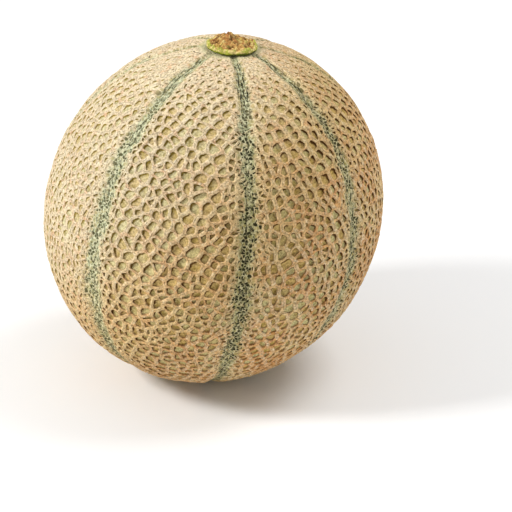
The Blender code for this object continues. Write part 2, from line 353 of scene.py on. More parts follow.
def band_seeds():
    """Seeds of the thin cells in the suture bands, fewer towards the sides of a band."""
    seeds = []
    for suture, azimuth in enumerate(AZIMUTHS):
        sideways = FRONT_AXIS * -math.sin(azimuth) + SIDE_AXIS * math.cos(azimuth)
        polar = SUTURE_START
        while polar < SUTURE_END:
            step = FLECK_ALONG * (1.0 + 0.2 * float(near_stem(polar))) / HALF_WIDTH
            half = FLECK_REACH * band_half_width(polar, suture)
            columns = max(FEWEST_COLUMNS, round(2.0 * half / FLECK_ACROSS))
            for column in range(columns):
                place = 2.0 * (column + 0.5) / columns - 1.0
                if rng.random() < FLECKS_LEFT_OUT[0] + FLECKS_LEFT_OUT[1] * place ** 4:
                    continue
                loose = 0.40 + 0.25 * abs(place)
                shift = 0.5 * (column % 2) + rng.uniform(-loose, loose)
                reach = half * place + rng.uniform(-loose, loose) * FLECK_ACROSS
                reach += suture_swing(polar, suture)
                seed = direction_at(polar + shift * step, azimuth) + sideways * reach / HALF_WIDTH
                seeds.append(unit(seed))
            polar += step
    return np.array(seeds)


def in_rows(spots):
    """Moves unit vectors most of the way into the rows between the long strands of the net."""
    polar = polar_of(spots)
    field, offset = field_of(spots)
    pitch = ROW_PITCHES[field]
    steep = STRAND_ANGLES[field]
    place = HALF_WIDTH * (offset * np.sin(polar) * np.sin(steep) + polar * np.cos(steep))
    place += ROW_WANDER * soft_noise(spots, ROW_WANDER_PITCH)
    hold = smooth_step(*ROWS_FADE_IN, polar) * (1.0 - smooth_step(*ROWS_FADE_OUT, polar))
    shift = ROW_HOLD * hold * (np.round(place / pitch) * pitch - place)
    east = unit(np.cross(STEM_AXIS, spots))
    north = np.cross(spots, east)
    aside = east * np.sin(steep)[:, None] - north * np.cos(steep)[:, None]
    return unit(spots + aside * shift[:, None] / HALF_WIDTH)


def net_seeds():
    """Seeds of the pits: darts that keep their distance, the widest first."""
    kept = []
    grid = {}
    size = PIT_SIZES[0][0] * 1.2 / HALF_WIDTH
    around = [(x, y, z) for x in (-1, 0, 1) for y in (-1, 0, 1) for z in (-1, 0, 1)]
    for pitch, throws, outermost in PIT_SIZES:
        spots = in_rows(unit(rng.normal(size=(throws, 3))))
        polar, suture, across = near_sutures(spots)
        growth = (1.0 - PIT_SHARE_BY_STEM) * smooth_step(*PIT_GROWTH, polar)
        pitches = pitch * rng.uniform(*PIT_SPREAD, throws) * (PIT_SHARE_BY_STEM + growth)
        half = band_half_width(polar, suture)
        edge = FLECK_REACH * half * rng.uniform(*BAND_EDGE_SPREAD, throws)
        free = np.abs(across) > edge + BAND_EDGE_GAP * pitches
        free |= (polar < SUTURE_START) | (polar > SUTURE_END)
        free &= np.abs(across) < outermost * half
        cells = np.floor(spots / size).astype(int)
        for spot, reach, cell in zip(
            spots[free].tolist(), pitches[free].tolist(), cells[free].tolist()
        ):
            clear = True
            for x, y, z in around:
                for other, other_reach in grid.get((cell[0] + x, cell[1] + y, cell[2] + z), ()):
                    least = 0.5 * PIT_PACKING * (reach + other_reach) / HALF_WIDTH
                    if math.dist(spot, other) < least:
                        clear = False
                        break
                if not clear:
                    break
            if clear:
                kept.append(spot)
                grid.setdefault(tuple(cell), []).append((spot, reach))
    return np.array(kept)


def hull_triangles(seeds):
    """Triangles of the seeds' convex hull, facing out, always in the same order."""
    bm = bmesh.new()
    for seed in seeds:
        bm.verts.new(seed)
    bm.verts.index_update()
    bmesh.ops.convex_hull(bm, input=bm.verts)
    triangles = []
    for face in bm.faces:
        a, b, c = sorted(vert.index for vert in face.verts)
        outward = np.cross(seeds[b] - seeds[a], seeds[c] - seeds[a]) @ seeds[a] > 0.0
        triangles.append((a, b, c) if outward else (a, c, b))
    bm.free()
    return sorted(triangles)


def web(seeds):
    """Corners of the web on the unit sphere, and the ring of corners round each seed."""
    triangles = hull_triangles(seeds)
    a, b, c = (seeds[column] for column in np.array(triangles).T)
    corners = unit(np.cross(b - a, c - a))
    after = [{} for _ in seeds]
    for number, (a, b, c) in enumerate(triangles):
        for seed, side, far_side in ((a, b, c), (b, c, a), (c, a, b)):
            after[seed][side] = (number, far_side)
    rings = []
    for turns in after:
        ring = []
        rings.append(ring)
        side = first = min(turns, default=None)
        while turns:
            number, side = turns[side]
            ring.append(number)
            if side == first:
                break
    return corners, rings


def relaxed(seeds, fixed):
    """Moves the seeds after the fixed ones a little towards the middle of their cells."""
    for _ in range(RELAXING_ROUNDS):
        corners, rings = web(seeds)
        middles = np.array([
            corners[ring].mean(axis=0) if ring else seed for ring, seed in zip(rings, seeds)
        ])
        step = unit(middles[fixed:]) - seeds[fixed:]
        seeds[fixed:] = unit(seeds[fixed:] + RELAXING_STEP * step)
    return seeds


def with_holes(seeds, fixed):
    """Adds seeds of small holes at some corners where three pits meet."""
    corners, rings = web(seeds)
    pits_at = np.zeros(len(corners), dtype=int)
    for ring in rings[fixed:]:
        pits_at[ring] += 1
    share = HOLE_SHARE * smooth_step(*HOLES_FADE_IN, polar_of(corners))
    chosen = np.flatnonzero((pits_at == 3) & (rng.random(len(corners)) < share))
    spots = corners[rng.permutation(chosen)]
    kept = []
    apart = HOLES_APART / HALF_WIDTH
    for spot in spots:
        if not kept or np.linalg.norm(np.array(kept) - spot, axis=1).min() > apart:
            kept.append(spot)
    return np.vstack((seeds, kept))


def bent(corners):
    """Moves the corners of the net about, so that its cells are less even."""
    polar, suture, across = near_sutures(corners)
    half = band_half_width(polar, suture)
    loose = smooth_step(0.9 * half, 2.2 * half, np.abs(across))
    moved = np.array([
        FINE_BEND * noise.noise_vector(Vector(corner * HALF_WIDTH / FINE_BEND_PITCH))
        + BROAD_BEND * noise.noise_vector(Vector(corner * HALF_WIDTH / BROAD_BEND_PITCH))
        for corner in corners
    ])
    return unit(corners + moved * loose[:, None] / HALF_WIDTH)


def merged(corners, rings, fixed):
    """Joins the ends of ridges that would be too short."""
    parent = list(range(len(corners)))

    def root(i):
        while parent[i] != i:
            parent[i] = parent[parent[i]]
            i = parent[i]
        return i

    for cell, ring in enumerate(rings):
        shortest = (SHORTEST_BAND_RIDGE if cell < fixed else SHORTEST_NET_RIDGE) / HALF_WIDTH
        if not ring:
            continue
        gaps = np.linalg.norm(corners[ring] - corners[np.roll(ring, -1)], axis=1)
        for i in np.flatnonzero(gaps < shortest):
            parent[root(ring[i])] = root(ring[(i + 1) % len(ring)])
    roots = np.array([root(i) for i in range(len(corners))])
    sums = np.zeros_like(corners)
    np.add.at(sums, roots, corners)
    places = np.where(np.any(sums != 0.0, axis=1, keepdims=True), sums, 1.0)
    clean = []
    for ring in rings:
        keys = roots[ring].tolist()
        clean.append([k for k, before in zip(keys, keys[-1:] + keys[:-1]) if k != before])
    return unit(places), clean


class Rind:
    """All vertices and faces of the rind, with the piece that each face belongs to."""

    def __init__(self):
        bands = band_seeds()
        self.fixed = len(bands)
        seeds = relaxed(np.vstack((bands, net_seeds())), self.fixed)
        seeds = with_holes(seeds, self.fixed)
        corners, rings = web(seeds)
        self.corners, rings = merged(bent(corners), rings, self.fixed)
        self.corner_tones = rng.random(len(self.corners))
        self.corner_sinks = rng.uniform(0.0, CORNER_SINK, len(self.corners))
        self.spots = []
        self.sinks = []
        self.rises = []
        self.tones = []
        self.strands = []
        self.painted_shades = []
        self.shared = {}
        self.ridges = {}
        self.faces = []
        self.face_pieces = []
        middles = unit(np.array([
            self.corners[ring].mean(axis=0) if len(ring) > 2 else seed
            for ring, seed in zip(rings, seeds)
        ]))
        self.fields = field_of(middles)[0]
        self.steeps = STRAND_ANGLES[self.fields]
        polar, suture, across = near_sutures(middles)
        self.stem_shares = near_stem(polar)
        self.aside = np.abs(across) / band_half_width(polar, suture)
        self.turns = azimuth_of(middles)
        for cell, ring in enumerate(rings):
            if len(ring) > 2:
                self.add_cell(cell, ring, middles[cell])

    def vert(self, spot, sink, rise, tone, strand, painted_shade=0.0):
        self.painted_shades.append(painted_shade)
        self.spots.append(spot)
        self.sinks.append(sink)
        self.rises.append(rise)
        self.tones.append(tone)
        self.strands.append(strand)
        return len(self.spots) - 1

    def corner(self, i):
        if i not in self.shared:
            self.shared[i] = self.vert(self.corners[i], self.corner_sinks[i], AT_CREST,
                                       self.corner_tones[i], CORNER_STRAND)
        return self.shared[i]

    def ridge(self, a, b, cell):
        """Half width and inner points of the ridge between two corners, alike from both sides."""
        key = (min(a, b), max(a, b))
        if key not in self.ridges:
            start, end = self.corners[key[0]], self.corners[key[1]]
            run = end - start
            length = max(np.linalg.norm(run), 1e-9)
            middle = unit(start + end)
            east = unit(np.cross(STEM_AXIS, middle))
            steep = self.steeps[cell] + 0.5 * noise.noise(Vector(middle * 4.0))
            lean = east * math.cos(steep) + np.cross(middle, east) * math.sin(steep)
            follows = (run @ lean / length) ** 2
            thickness = CROSS_STRAND_SHARE + LONG_STRAND_SHARE * follows
            half_width = STRAND * (thickness + rng.uniform(-0.12, 0.20))
            low = CROSS_STRAND_SINK * (1.0 - follows) * rng.random()
            groove = STRAND_GROOVE * rng.uniform(-0.3, 1.0)
            bow = rng.uniform(-0.10, 0.10)
            count = min(3, round(length * HALF_WIDTH / RIDGE_STEP - 0.2))
            aside = np.cross(middle, run)
            points = []
            for j in range(count):
                share = (j + 1) / (count + 1)
                swing = 4.0 * bow * share * (1.0 - share) + rng.uniform(-0.05, 0.05)
                spot = unit(start + run * share + aside * swing)
                points.append(self.vert(spot, low + groove, AT_CREST, rng.random(), follows))
            self.ridges[key] = (half_width, low, follows, points)
        half_width, low, follows, points = self.ridges[key]
        return half_width, low, follows, points if key[0] == a else points[::-1]

    def face(self, piece, corners):
        kept = list(dict.fromkeys(corners))
        if len(kept) > 2:
            self.faces.append(kept)
            self.face_pieces.append(piece)

    def add_cell(self, cell, ring, middle):
        by_stem = self.stem_shares[cell]
        field = self.fields[cell]
        east = unit(np.cross(STEM_AXIS, middle))
        axes = np.array((east, np.cross(middle, east)))
        flat = (self.corners[ring] - middle) @ axes.T * HALF_WIDTH
        narrow = np.linalg.norm(flat, axis=1).mean() < WIDE_CELL * (1.0 + 0.8 * by_stem)
        banded = cell < self.fixed and (narrow or self.aside[cell] < BAND_MIDDLE)
        piece = BAND_PIECE if banded else field // 2
        widen = STRAND_SHARES[field] * (1.0 + 0.6 * by_stem)
        if cell < self.fixed:
            widen *= 0.60
        crest = []
        lows = []
        widths = []
        strands = []
        for i, a in enumerate(ring):
            half_width, low, follows, points = self.ridge(a, ring[(i + 1) % len(ring)], cell)
            widths.append(FLECK_RIDGE if banded else half_width * widen)
            crest += [self.corner(a), *points]
            lows += [0.0] + [low] * len(points)
            strands += [CORNER_STRAND] + [follows] * len(points)
        count = len(crest)
        spread = (np.array([self.spots[i] for i in crest]) - middle) @ axes.T * HALF_WIDTH
        crest_reach = np.maximum(np.linalg.norm(spread, axis=1), 1e-6)
        heading = spread / crest_reach[:, None]
        runs = np.roll(flat, -1, axis=0) - flat
        normals = np.stack((runs[:, 1], -runs[:, 0]), axis=1)
        normals /= np.maximum(np.linalg.norm(normals, axis=1, keepdims=True), 1e-9)
        offsets = np.maximum((normals * flat).sum(axis=1), LEAST_REACH)
        open_reach = np.maximum(offsets - np.array(widths), 0.15 * offsets)
        facing = np.maximum(heading @ normals.T, 0.0) / open_reach
        reach = (facing ** PIT_ROUNDNESS).sum(axis=1) ** (-1.0 / PIT_ROUNDNESS)
        reach *= rng.uniform(0.90, 1.08, count)
        reach = np.minimum(reach, 0.85 * crest_reach)
        lows = np.array(lows)
        tone = rng.random()
        if banded:
            depth = FLECK_DEPTH * rng.uniform(0.2, 1.0)
        else:
            depth = NET_DEPTH * DEPTH_SHARES[field] * rng.uniform(0.60, 1.15)
            depth *= 1.0 - 0.45 * by_stem
        depth = min(depth, STEEPEST_PIT * reach.mean() + LEAST_DEPTH)
        # Painted shade: how far each point round the pit lies on its shaded side
        painted_shades = painted_shade_side(heading, self.turns[cell])

        def ring_of(reaches, sinks, rise):
            spots = unit(middle + (heading * reaches[:, None]) @ axes / HALF_WIDTH)
            return [self.vert(spot, sink, rise, tone, strand, painted_shade)
                    for spot, sink, strand, painted_shade in zip(spots, sinks, strands, painted_shades)]

        rings = [crest]
        if banded:
            rings.append(ring_of(reach, np.full(count, 0.25 * depth), AT_RIM))
        else:
            rings.append(ring_of(0.5 * (crest_reach + reach), lows, AT_SHOULDER))
            rings.append(ring_of(reach, 0.6 * lows + 0.22 * depth, AT_RIM))
            foot = reach - np.minimum(WALL_RUN, 0.30 * reach)
            rings.append(ring_of(foot, depth * rng.uniform(0.88, 1.0, count), AT_FOOT))
        centre = self.vert(middle, 0.90 * depth, AT_MIDDLE, tone, 0.0)
        for outer, inner in zip(rings, rings[1:]):
            for i in range(count):
                j = (i + 1) % count
                self.face(piece, (outer[i], outer[j], inner[j], inner[i]))
        for i in range(count):
            self.face(piece, (rings[-1][i], rings[-1][(i + 1) % count], centre))


PIECES = ("netted_rind_left", "netted_rind_right", "netted_rind_back_right",
          "netted_rind_back_left", "suture_bands")
BAND_PIECE = 4


def lune_map(spots, homes, piece):
    """Image coordinates on a quarter of the rind: turn across, polar angle up."""
    low = FIELD_STARTS[2 * piece]
    high = FIELD_ENDS[2 * piece + 1]
    middle = AZIMUTHS[0] + 0.5 * (low + high)
    turn = wrapped(azimuth_of(spots) - azimuth_of(homes)) + wrapped(azimuth_of(homes) - middle)
    u = 0.5 + 0.97 * turn / (high - low)
    v = 0.01 + 0.98 * polar_of(spots) / math.pi
    return np.clip(np.stack((u, v), axis=1), 0.001, 0.999)


def strip_map(spots, homes):
    """Image coordinates on one strip for each suture."""
    suture = near_sutures(homes)[1]
    polar = polar_of(spots)
    turn = wrapped(azimuth_of(spots) - AZIMUTHS[suture])
    widest = SUTURE_HALF_WIDTH * FLECK_REACH * 1.45
    across = np.sin(turn) * np.sin(polar) * HALF_WIDTH / widest
    u = (polar - SUTURE_START) / (SUTURE_END - SUTURE_START)
    v = (suture + 0.5 + 0.48 * across) / len(SUTURES)
    return np.stack((0.02 + 0.96 * u, v), axis=1)


def add_attribute(mesh, name, values):
    layer = mesh.attributes.new(name, "FLOAT", "POINT")
    layer.data.foreach_set("value", np.asarray(values, dtype=np.float32))


def finished(name, points, faces, places, material, node):
    """Adds a smooth mesh piece that rides on the root body and stands for a node."""
    mesh = bpy.data.meshes.new(name)
    mesh.from_pydata(points.tolist(), [], faces)
    mesh.shade_smooth()
    mesh.materials.append(material)
    layer = mesh.uv_layers.new(name="OFBake")
    layer.uv.foreach_set("vector", np.asarray(places, dtype=np.float32).ravel())
    piece = bpy.data.objects.new(name, mesh)
    bpy.context.scene.collection.objects.link(piece)
    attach(piece, "root")
    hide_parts(node)
    return mesh


def vertex_normals(points, faces):
    """Smooth normals over the whole rind, so that its pieces meet without a crease."""
    normals = np.zeros_like(points)
    for size in (3, 4):
        rows = np.array([face for face in faces if len(face) == size])
        a = points[rows[:, size // 2]] - points[rows[:, 0]]
        b = points[rows[:, size - 1]] - points[rows[:, 1 if size == 4 else 0]]
        for column in range(size):
            np.add.at(normals, rows[:, column], np.cross(a, b))
    return normals / np.maximum(np.linalg.norm(normals, axis=1, keepdims=True), 1e-12)


def add_rind():
    """The net in four quarters and the suture bands, cut from one web."""
    rind = Rind()
    spots = np.array(rind.spots)
    points = skin_points(spots, np.array(rind.sinks))
    normals = vertex_normals(points, rind.faces)
    polar, suture, across = near_sutures(spots)
    half = band_half_width(polar, suture)
    from_seat = np.linalg.norm(points - SEAT_CENTRE, axis=1)
    from_end = (math.pi - polar) * HALF_WIDTH
    values = {
        "rise": np.array(rind.rises),
        "tone": np.array(rind.tones),
        "strand": np.array(rind.strands),
        # Painted shade on the pits' shaded side, read by the net's colour
        "painted_shade": np.array(rind.painted_shades),
        "green": np.exp(-(across / (1.10 * half)) ** 2),
        "core": np.exp(-(across / (0.80 * half)) ** 2),
        "dark": DARKNESS[suture],
        "along": polar * HALF_WIDTH,
        "across": across + 0.05 * suture,
        # How far towards the lit upper left, for colour that is partly the rind's own and partly
        # painted light
        "pale": smooth_step(*PALE_ZONE, (points - CENTRE) @ PALE_SIDE),
        "stem": near_stem(polar),
        "collar": 1.0 - smooth_step(*COLLAR, from_seat),
        "ground": near_ground(spots),
        "scar": np.exp(-((from_end - SCAR_RADIUS) / SCAR_WIDTH) ** 2),
    }
    piece_of = np.array(rind.face_pieces)
    net = net_looks()
    band = band_looks()
    for piece, name in enumerate(PIECES):
        chosen = np.flatnonzero(piece_of == piece)
        faces = [rind.faces[i] for i in chosen]
        loops = np.concatenate(faces)
        kept, back = np.unique(loops, return_inverse=True)
        sizes = [len(face) for face in faces]
        local = np.split(back, np.cumsum(sizes)[:-1])
        centres = unit(np.array([spots[face].mean(axis=0) for face in faces]))
        homes = np.repeat(centres, sizes, axis=0)
        banded = piece == BAND_PIECE
        places = strip_map(spots[loops], homes) if banded else lune_map(spots[loops], homes, piece)
        mesh = finished(name, points[kept], [face.tolist() for face in local], places,
                        band if banded else net, "melon_body")
        for key, value in values.items():
            add_attribute(mesh, key, value[kept])
        mesh.normals_split_custom_set_from_vertices(normals[kept].tolist())


def lobes_at(turn):
    """Scallops of the stub's edge, 1 in the middle of a lobe and 0 between two."""
    around = Vector((math.cos(turn), math.sin(turn), 0.0))
    uneven = 0.55 * noise.noise(around * 1.7 + STUB_SHIFT)
    return abs(math.sin(0.5 * STUB_LOBES * (turn + uneven))) ** 0.6


def stub_radius(turn):
    """Outer radius of the stub towards a turn about its axis, widest to the front right."""
    around = Vector((math.cos(turn), math.sin(turn), 0.0))
    uneven = 0.050 * noise.noise(around * 1.9)
    form = 0.965 + 0.100 * math.cos(turn + 0.85) + 0.030 * math.cos(2.0 * (turn + 0.30))
    return STUB_RADIUS * (form + uneven - 0.075 * (1.0 - lobes_at(turn)))


def stub_level(ring):
    """Image height of a ring of the stub, above the strip of its underside."""
    return STUB_SEAT_STRIP + (1.0 - STUB_SEAT_STRIP) * ring / STUB_RINGS


def add_stub():
    """A lobed rim round a raised, crumpled middle of cracked cork plates."""
    across = np.cross(SEAT_NORMAL, FRONT_AXIS)
    behind = np.cross(SEAT_NORMAL, across)
    shares = np.linspace(0.0, 1.0, STUB_RINGS)
    stations = np.linspace(0.0, 1.0, len(STUB_PROFILE))
    reaches, heights, plates, edges = (
        np.interp(shares, stations, column) for column in zip(*STUB_PROFILE)
    )
    points = []
    values = {"cork": [], "crack": [], "under": []}
    for ring in range(STUB_RINGS):
        for side in range(STUB_SIDES):
            turn = 2.0 * math.pi * side / STUB_SIDES
            radius = stub_radius(turn) * reaches[ring]
            x = radius * math.cos(turn)
            y = radius * math.sin(turn)
            spot = Vector((x, y, 0.0))
            warp = noise.noise_vector(spot / STUB_WARP_PITCH) * STUB_WARP
            near = noise.voronoi((spot + warp) / STUB_PLATE)[0]
            crack = plates[ring] * (1.0 - float(smooth_step(0.02, 0.26, near[1] - near[0])))
            crack *= float(smooth_step(-0.15, 0.25, noise.noise(spot / 0.0030 - STUB_SHIFT)))
            tall = 1.08 - 0.12 * math.cos(turn) - 0.22 * math.sin(turn)
            tall *= 1.0 - edges[ring] * 0.35 * (1.0 - lobes_at(turn))
            tall *= 1.0 + STUB_SWELL * noise.noise(spot / STUB_SWELL_PITCH + STUB_SHIFT)
            tall *= 1.0 + STUB_KNOBS * noise.noise(spot / STUB_KNOB_PITCH - STUB_SHIFT)
            height = STUB_RIM_HEIGHT * heights[ring] * tall
            from_peak = math.hypot(x - STUB_PEAK_PLACE[0], y - STUB_PEAK_PLACE[1])
            rough = plates[ring]
            height += STUB_PEAK * rough * math.exp(-(from_peak / STUB_PEAK_REACH) ** 2)
            fold = 1.0 - abs(noise.noise((spot + warp) / STUB_FOLD_PITCH + STUB_SHIFT)) * 3.2
            height += rough * STUB_FOLD * max(fold, -0.6)
            height += rough * STUB_GRAIN * noise.noise(spot / STUB_GRAIN_PITCH)
            height -= STUB_CRACK_DEPTH * crack
            height = max(height, 0.0)
            points.append(SEAT_CENTRE + across * x + behind * y + SEAT_NORMAL * (STUB_GAP + height))
            values["cork"].append(rough)
            values["crack"].append(crack)
            values["under"].append(1.0 - float(smooth_step(0.10, 0.70, heights[ring])))
    tip = len(points)
    last = (STUB_RINGS - 1) * STUB_SIDES
    points.append(np.mean(points[last:], axis=0))
    seat = len(points)
    points.append(SEAT_CENTRE + SEAT_NORMAL * STUB_GAP)
    for value, at_tip, at_seat in (("cork", 1, 0), ("crack", 0, 0), ("under", 0, 1)):
        values[value] += [at_tip, at_seat]
    faces = []
    places = []
    for side in range(STUB_SIDES):
        after = (side + 1) % STUB_SIDES
        left, right = side / STUB_SIDES, (side + 1) / STUB_SIDES
        for ring in range(STUB_RINGS - 1):
            base = ring * STUB_SIDES
            low = stub_level(ring)
            high = stub_level(ring + 1)
            faces.append((base + side, base + after, base + STUB_SIDES + after,
                          base + STUB_SIDES + side))
            places += [(left, low), (right, low), (right, high), (left, high)]
        top = stub_level(STUB_RINGS - 1)
        faces.append((last + side, last + after, tip))
        places += [(left, top), (right, top), (0.5 * (left + right), 1.0)]
        faces.append((after, side, seat))
        places += [(right, STUB_SEAT_STRIP), (left, STUB_SEAT_STRIP), (0.5 * (left + right), 0.0)]
    mesh = finished("stem_stub_cork", np.array(points), faces, places, stub_looks(),
                    "stem_stub")
    for key, value in values.items():
        add_attribute(mesh, key, value)


def linear(red, green, blue):
    """Scene colour of an 8-bit display colour."""
    def one(value):
        value /= 255.0
        return value / 12.92 if value <= 0.04045 else ((value + 0.055) / 1.055) ** 2.4
    return (one(red), one(green), one(blue), 1.0)


class Looks:
    """Builds one node material, with short names for the nodes it uses."""

    def __init__(self, name):
        self.material = bpy.data.materials.new(name)
        self.material.use_nodes = True
        self.tree = self.material.node_tree
        self.shader = self.tree.nodes["Principled BSDF"]
        self.place = self.add("ShaderNodeTexCoord").outputs["Object"]

    def add(self, kind, **settings):
        node = self.tree.nodes.new(kind)
        for key, value in settings.items():
            setattr(node, key, value)
        return node

    def fill(self, socket, value):
        if isinstance(value, bpy.types.NodeSocket):
            self.tree.links.new(value, socket)
        else:
            socket.default_value = value

    def attribute(self, name):
        return self.add("ShaderNodeAttribute", attribute_name=name).outputs["Fac"]

    def math(self, operation, a, b=0.0, clamp=False):
        node = self.add("ShaderNodeMath", operation=operation, use_clamp=clamp)
        self.fill(node.inputs[0], a)
        self.fill(node.inputs[1], b)
        return node.outputs[0]

    def times(self, a, b):
        return self.math("MULTIPLY", a, b, clamp=True)

    def span(self, value, low, high, to_low=0.0, to_high=1.0):
        """Maps low..high to to_low..to_high smoothly, and holds the ends."""
        node = self.add("ShaderNodeMapRange", interpolation_type="SMOOTHSTEP")
        for socket, given in zip(node.inputs, (value, low, high, to_low, to_high)):
            self.fill(socket, given)
        return node.outputs[0]

    def mix(self, share, a, b, blend="MIX"):
        node = self.add("ShaderNodeMix", data_type="RGBA", blend_type=blend)
        self.fill(node.inputs[0], share)
        self.fill(node.inputs[6], a)
        self.fill(node.inputs[7], b)
        return node.outputs[2]

    def noise(self, pitch, detail=2.0, place=None, roughness=0.5, distortion=0.0):
        """Cloudy noise whose lumps are about pitch metres apart, from 0 to 1."""
        node = self.add("ShaderNodeTexNoise")
        self.fill(node.inputs["Vector"], place or self.place)
        self.fill(node.inputs["Scale"], 1.0 / pitch)
        self.fill(node.inputs["Detail"], detail)
        self.fill(node.inputs["Roughness"], roughness)
        self.fill(node.inputs["Distortion"], distortion)
        return node.outputs[0]

    def vector(self, x, y, z):
        node = self.add("ShaderNodeCombineXYZ")
        for socket, value in zip(node.inputs, (x, y, z)):
            self.fill(socket, value)
        return node.outputs[0]

    def bump(self, height, distance):
        node = self.add("ShaderNodeBump")
        self.fill(node.inputs["Height"], height)
        node.inputs["Distance"].default_value = distance
        return node.outputs[0]

    def done(self, colour, roughness, normal=None, gloss=0.5):
        self.fill(self.shader.inputs["Base Color"], colour)
        self.fill(self.shader.inputs["Roughness"], roughness)
        self.fill(self.shader.inputs["Specular IOR Level"], gloss)
        if normal is not None:
            self.fill(self.shader.inputs["Normal"], normal)
        return self.material


# Colour of the painted highlights on the strands
PAINTED_HIGHLIGHT = linear(248, 235, 206)
CREAM = linear(238, 204, 144)
PALE_CREAM = linear(232, 219, 187)
TAN = linear(230, 171, 104)
PINK = linear(232, 180, 136)
KHAKI = linear(214, 184, 112)
PALE_GREEN = linear(216, 208, 152)
OLIVE = linear(162, 140, 54)
# Colour of the painted shade in the net's pits and in the grooves along its strands
PAINTED_SHADE_BROWN = linear(92, 54, 5)
SAGE = linear(160, 158, 106)
MIST = linear(214, 224, 192)
PALE_SAGE = linear(230, 222, 180)
DARK_SAGE = linear(138, 136, 86)
GREY_GREEN = linear(106, 112, 68)
FLECK = linear(32, 34, 8)
GREY_COLLAR = linear(192, 190, 146)
STRAW_YELLOW = linear(232, 206, 142)
SCAR = linear(150, 120, 78)
LIME = linear(182, 184, 72)
GRASS = linear(166, 176, 44)
MOSS = linear(88, 104, 20)
CORK = linear(212, 168, 94)
BROWN_CORK = linear(182, 124, 66)
# Pale straw of the stub: partly its own colour, partly painted highlights
STRAW_AND_HIGHLIGHT = linear(236, 214, 138)
CRACK = linear(96, 50, 20)
DUST = linear(158, 148, 136)
WARM = linear(249, 240, 219)
RIND_GLOSS = 0.14
STUB_GLOSS = 0.3


def cork_colour(look):
    """Cream to tan cork, with pink spots and fine mottling, paler to the upper left: partly its own
    colour and partly painted light where the key light falls.
    """
    cork = look.mix(look.span(look.noise(0.016, 3.0), 0.35, 0.65), TAN, CREAM)
    cork = look.mix(look.times(look.attribute("pale"), 0.75), cork, PALE_CREAM)
    return look.mix(look.span(look.noise(0.0038, 2.0), 0.52, 0.72, 0.0, 0.6), cork, PINK)


def mottled(look, colour, darkest):
    """Fine light and dark mottling of the dry surface."""
    fine = look.noise(0.0010, 3.0, roughness=0.7)
    share = look.span(fine, 0.32, 0.62, darkest, 0.0)
    return look.mix(share, colour, look.mix(1.0, colour, DUST, "MULTIPLY"))


def warmed(look, colour, most):
    """Warmer where the rind is less pale, away from the lit upper left: partly the rind's own
    colour and partly painted light.
    """
    pale = look.attribute("pale")
    share = look.times(look.span(pale, 0.5, 0.95, most, 0.0), look.span(pale, 0.0, 0.4, 0.3, 1.0))
    return look.mix(share, colour, look.mix(1.0, colour, WARM, "MULTIPLY"))


def net_looks():
    """Cream cork net over khaki green skin, with painted shade in the pits and along the strands'
    crests, and painted highlights on the strands.
    """
    look = Looks("netted_rind")
    rise = look.attribute("rise")
    tone = look.attribute("tone")
    green = look.attribute("green")
    ground = look.attribute("ground")
    strand = look.span(look.attribute("strand"), 0.3, 1.0, 0.0, 0.45)
    cork = look.mix(strand, cork_colour(look), PALE_CREAM)
    floor = look.mix(look.span(tone, 0.15, 0.85), KHAKI, PALE_GREEN)
    # Paler floors on the upper left: partly their own colour, partly painted light
    floor = look.mix(look.times(look.attribute("pale"), 0.4), floor, PALE_CREAM)
    floor = look.mix(look.span(look.noise(0.0030, 2.0), 0.48, 0.70, 0.0, 0.6), floor, OLIVE)
    floor = look.mix(look.times(green, 0.8), floor, GREY_GREEN)
    # Painted shade: the pits' walls darkened towards olive brown all round, most on their shaded
    # side, and the floor next to that side too; the painted shade is lighter by the stem and on the
    # pale upper left, where the key light falls
    pale_lit_share = look.span(look.attribute("pale"), 0.58, 0.85)
    lighter_shade = look.math("ADD", look.attribute("stem"), pale_lit_share, clamp=True)
    shade_colour = look.mix(look.times(lighter_shade, 0.85), PAINTED_SHADE_BROWN, OLIVE)
    painted_shade = look.attribute("painted_shade")
    shaded_wall = look.mix(look.span(painted_shade, 0.1, 0.6, 0.45, 0.97), cork, shade_colour)
    into_wall = look.span(rise, 0.36, 0.46)
    onto_floor = look.span(rise, 0.66, 0.74)
    floor = look.mix(look.span(painted_shade, 0.45, 0.80, 0.0, 0.92), floor, shade_colour)
    colour = look.mix(into_wall, cork, shaded_wall)
    colour = look.mix(onto_floor, colour, floor)
    edge = look.times(green, look.span(look.noise(0.0028, 3.0), 0.30, 0.70, 0.35, 1.3))
    on_top = look.math("SUBTRACT", 1.0, into_wall)
    colour = look.mix(look.times(on_top, edge), colour, PALE_SAGE)
    # Painted shade: a broken dark line along the middle of the strands, in their groove
    crest_line = look.span(rise, 0.0, 0.13, 1.0, 0.0)
    broken = look.span(look.noise(0.0016, 2.0), 0.42, 0.60)
    groove = look.times(crest_line, broken)
    colour = look.mix(look.times(groove, 0.30), colour, PAINTED_SHADE_BROWN)
    # Painted highlights: fine bright specks on top of the strands
    highlight_specks = look.span(look.noise(0.0013, 2.0, roughness=0.6), 0.54, 0.66, 0.0, 0.6)
    colour = look.mix(look.times(on_top, highlight_specks), colour, PAINTED_HIGHLIGHT)
    colour = warmed(look, mottled(look, colour, 0.75), 1.0)
    colour = look.mix(look.times(look.attribute("collar"), 0.6), colour, GREY_COLLAR)
    colour = look.mix(look.times(ground, 0.7), colour, STRAW_YELLOW)
    colour = look.mix(look.times(look.attribute("scar"), 0.7), colour, SCAR)
    fibres = look.noise(0.0007, 3.0, roughness=0.6, distortion=0.6)
    height = look.math("SUBTRACT", fibres, look.times(groove, 0.6))
    normal = look.bump(height, 0.00042)
    roughness = look.span(look.noise(0.0022, 3.0), 0.3, 0.7, 0.60, 0.85)
    return look.done(colour, roughness, normal, RIND_GLOSS)


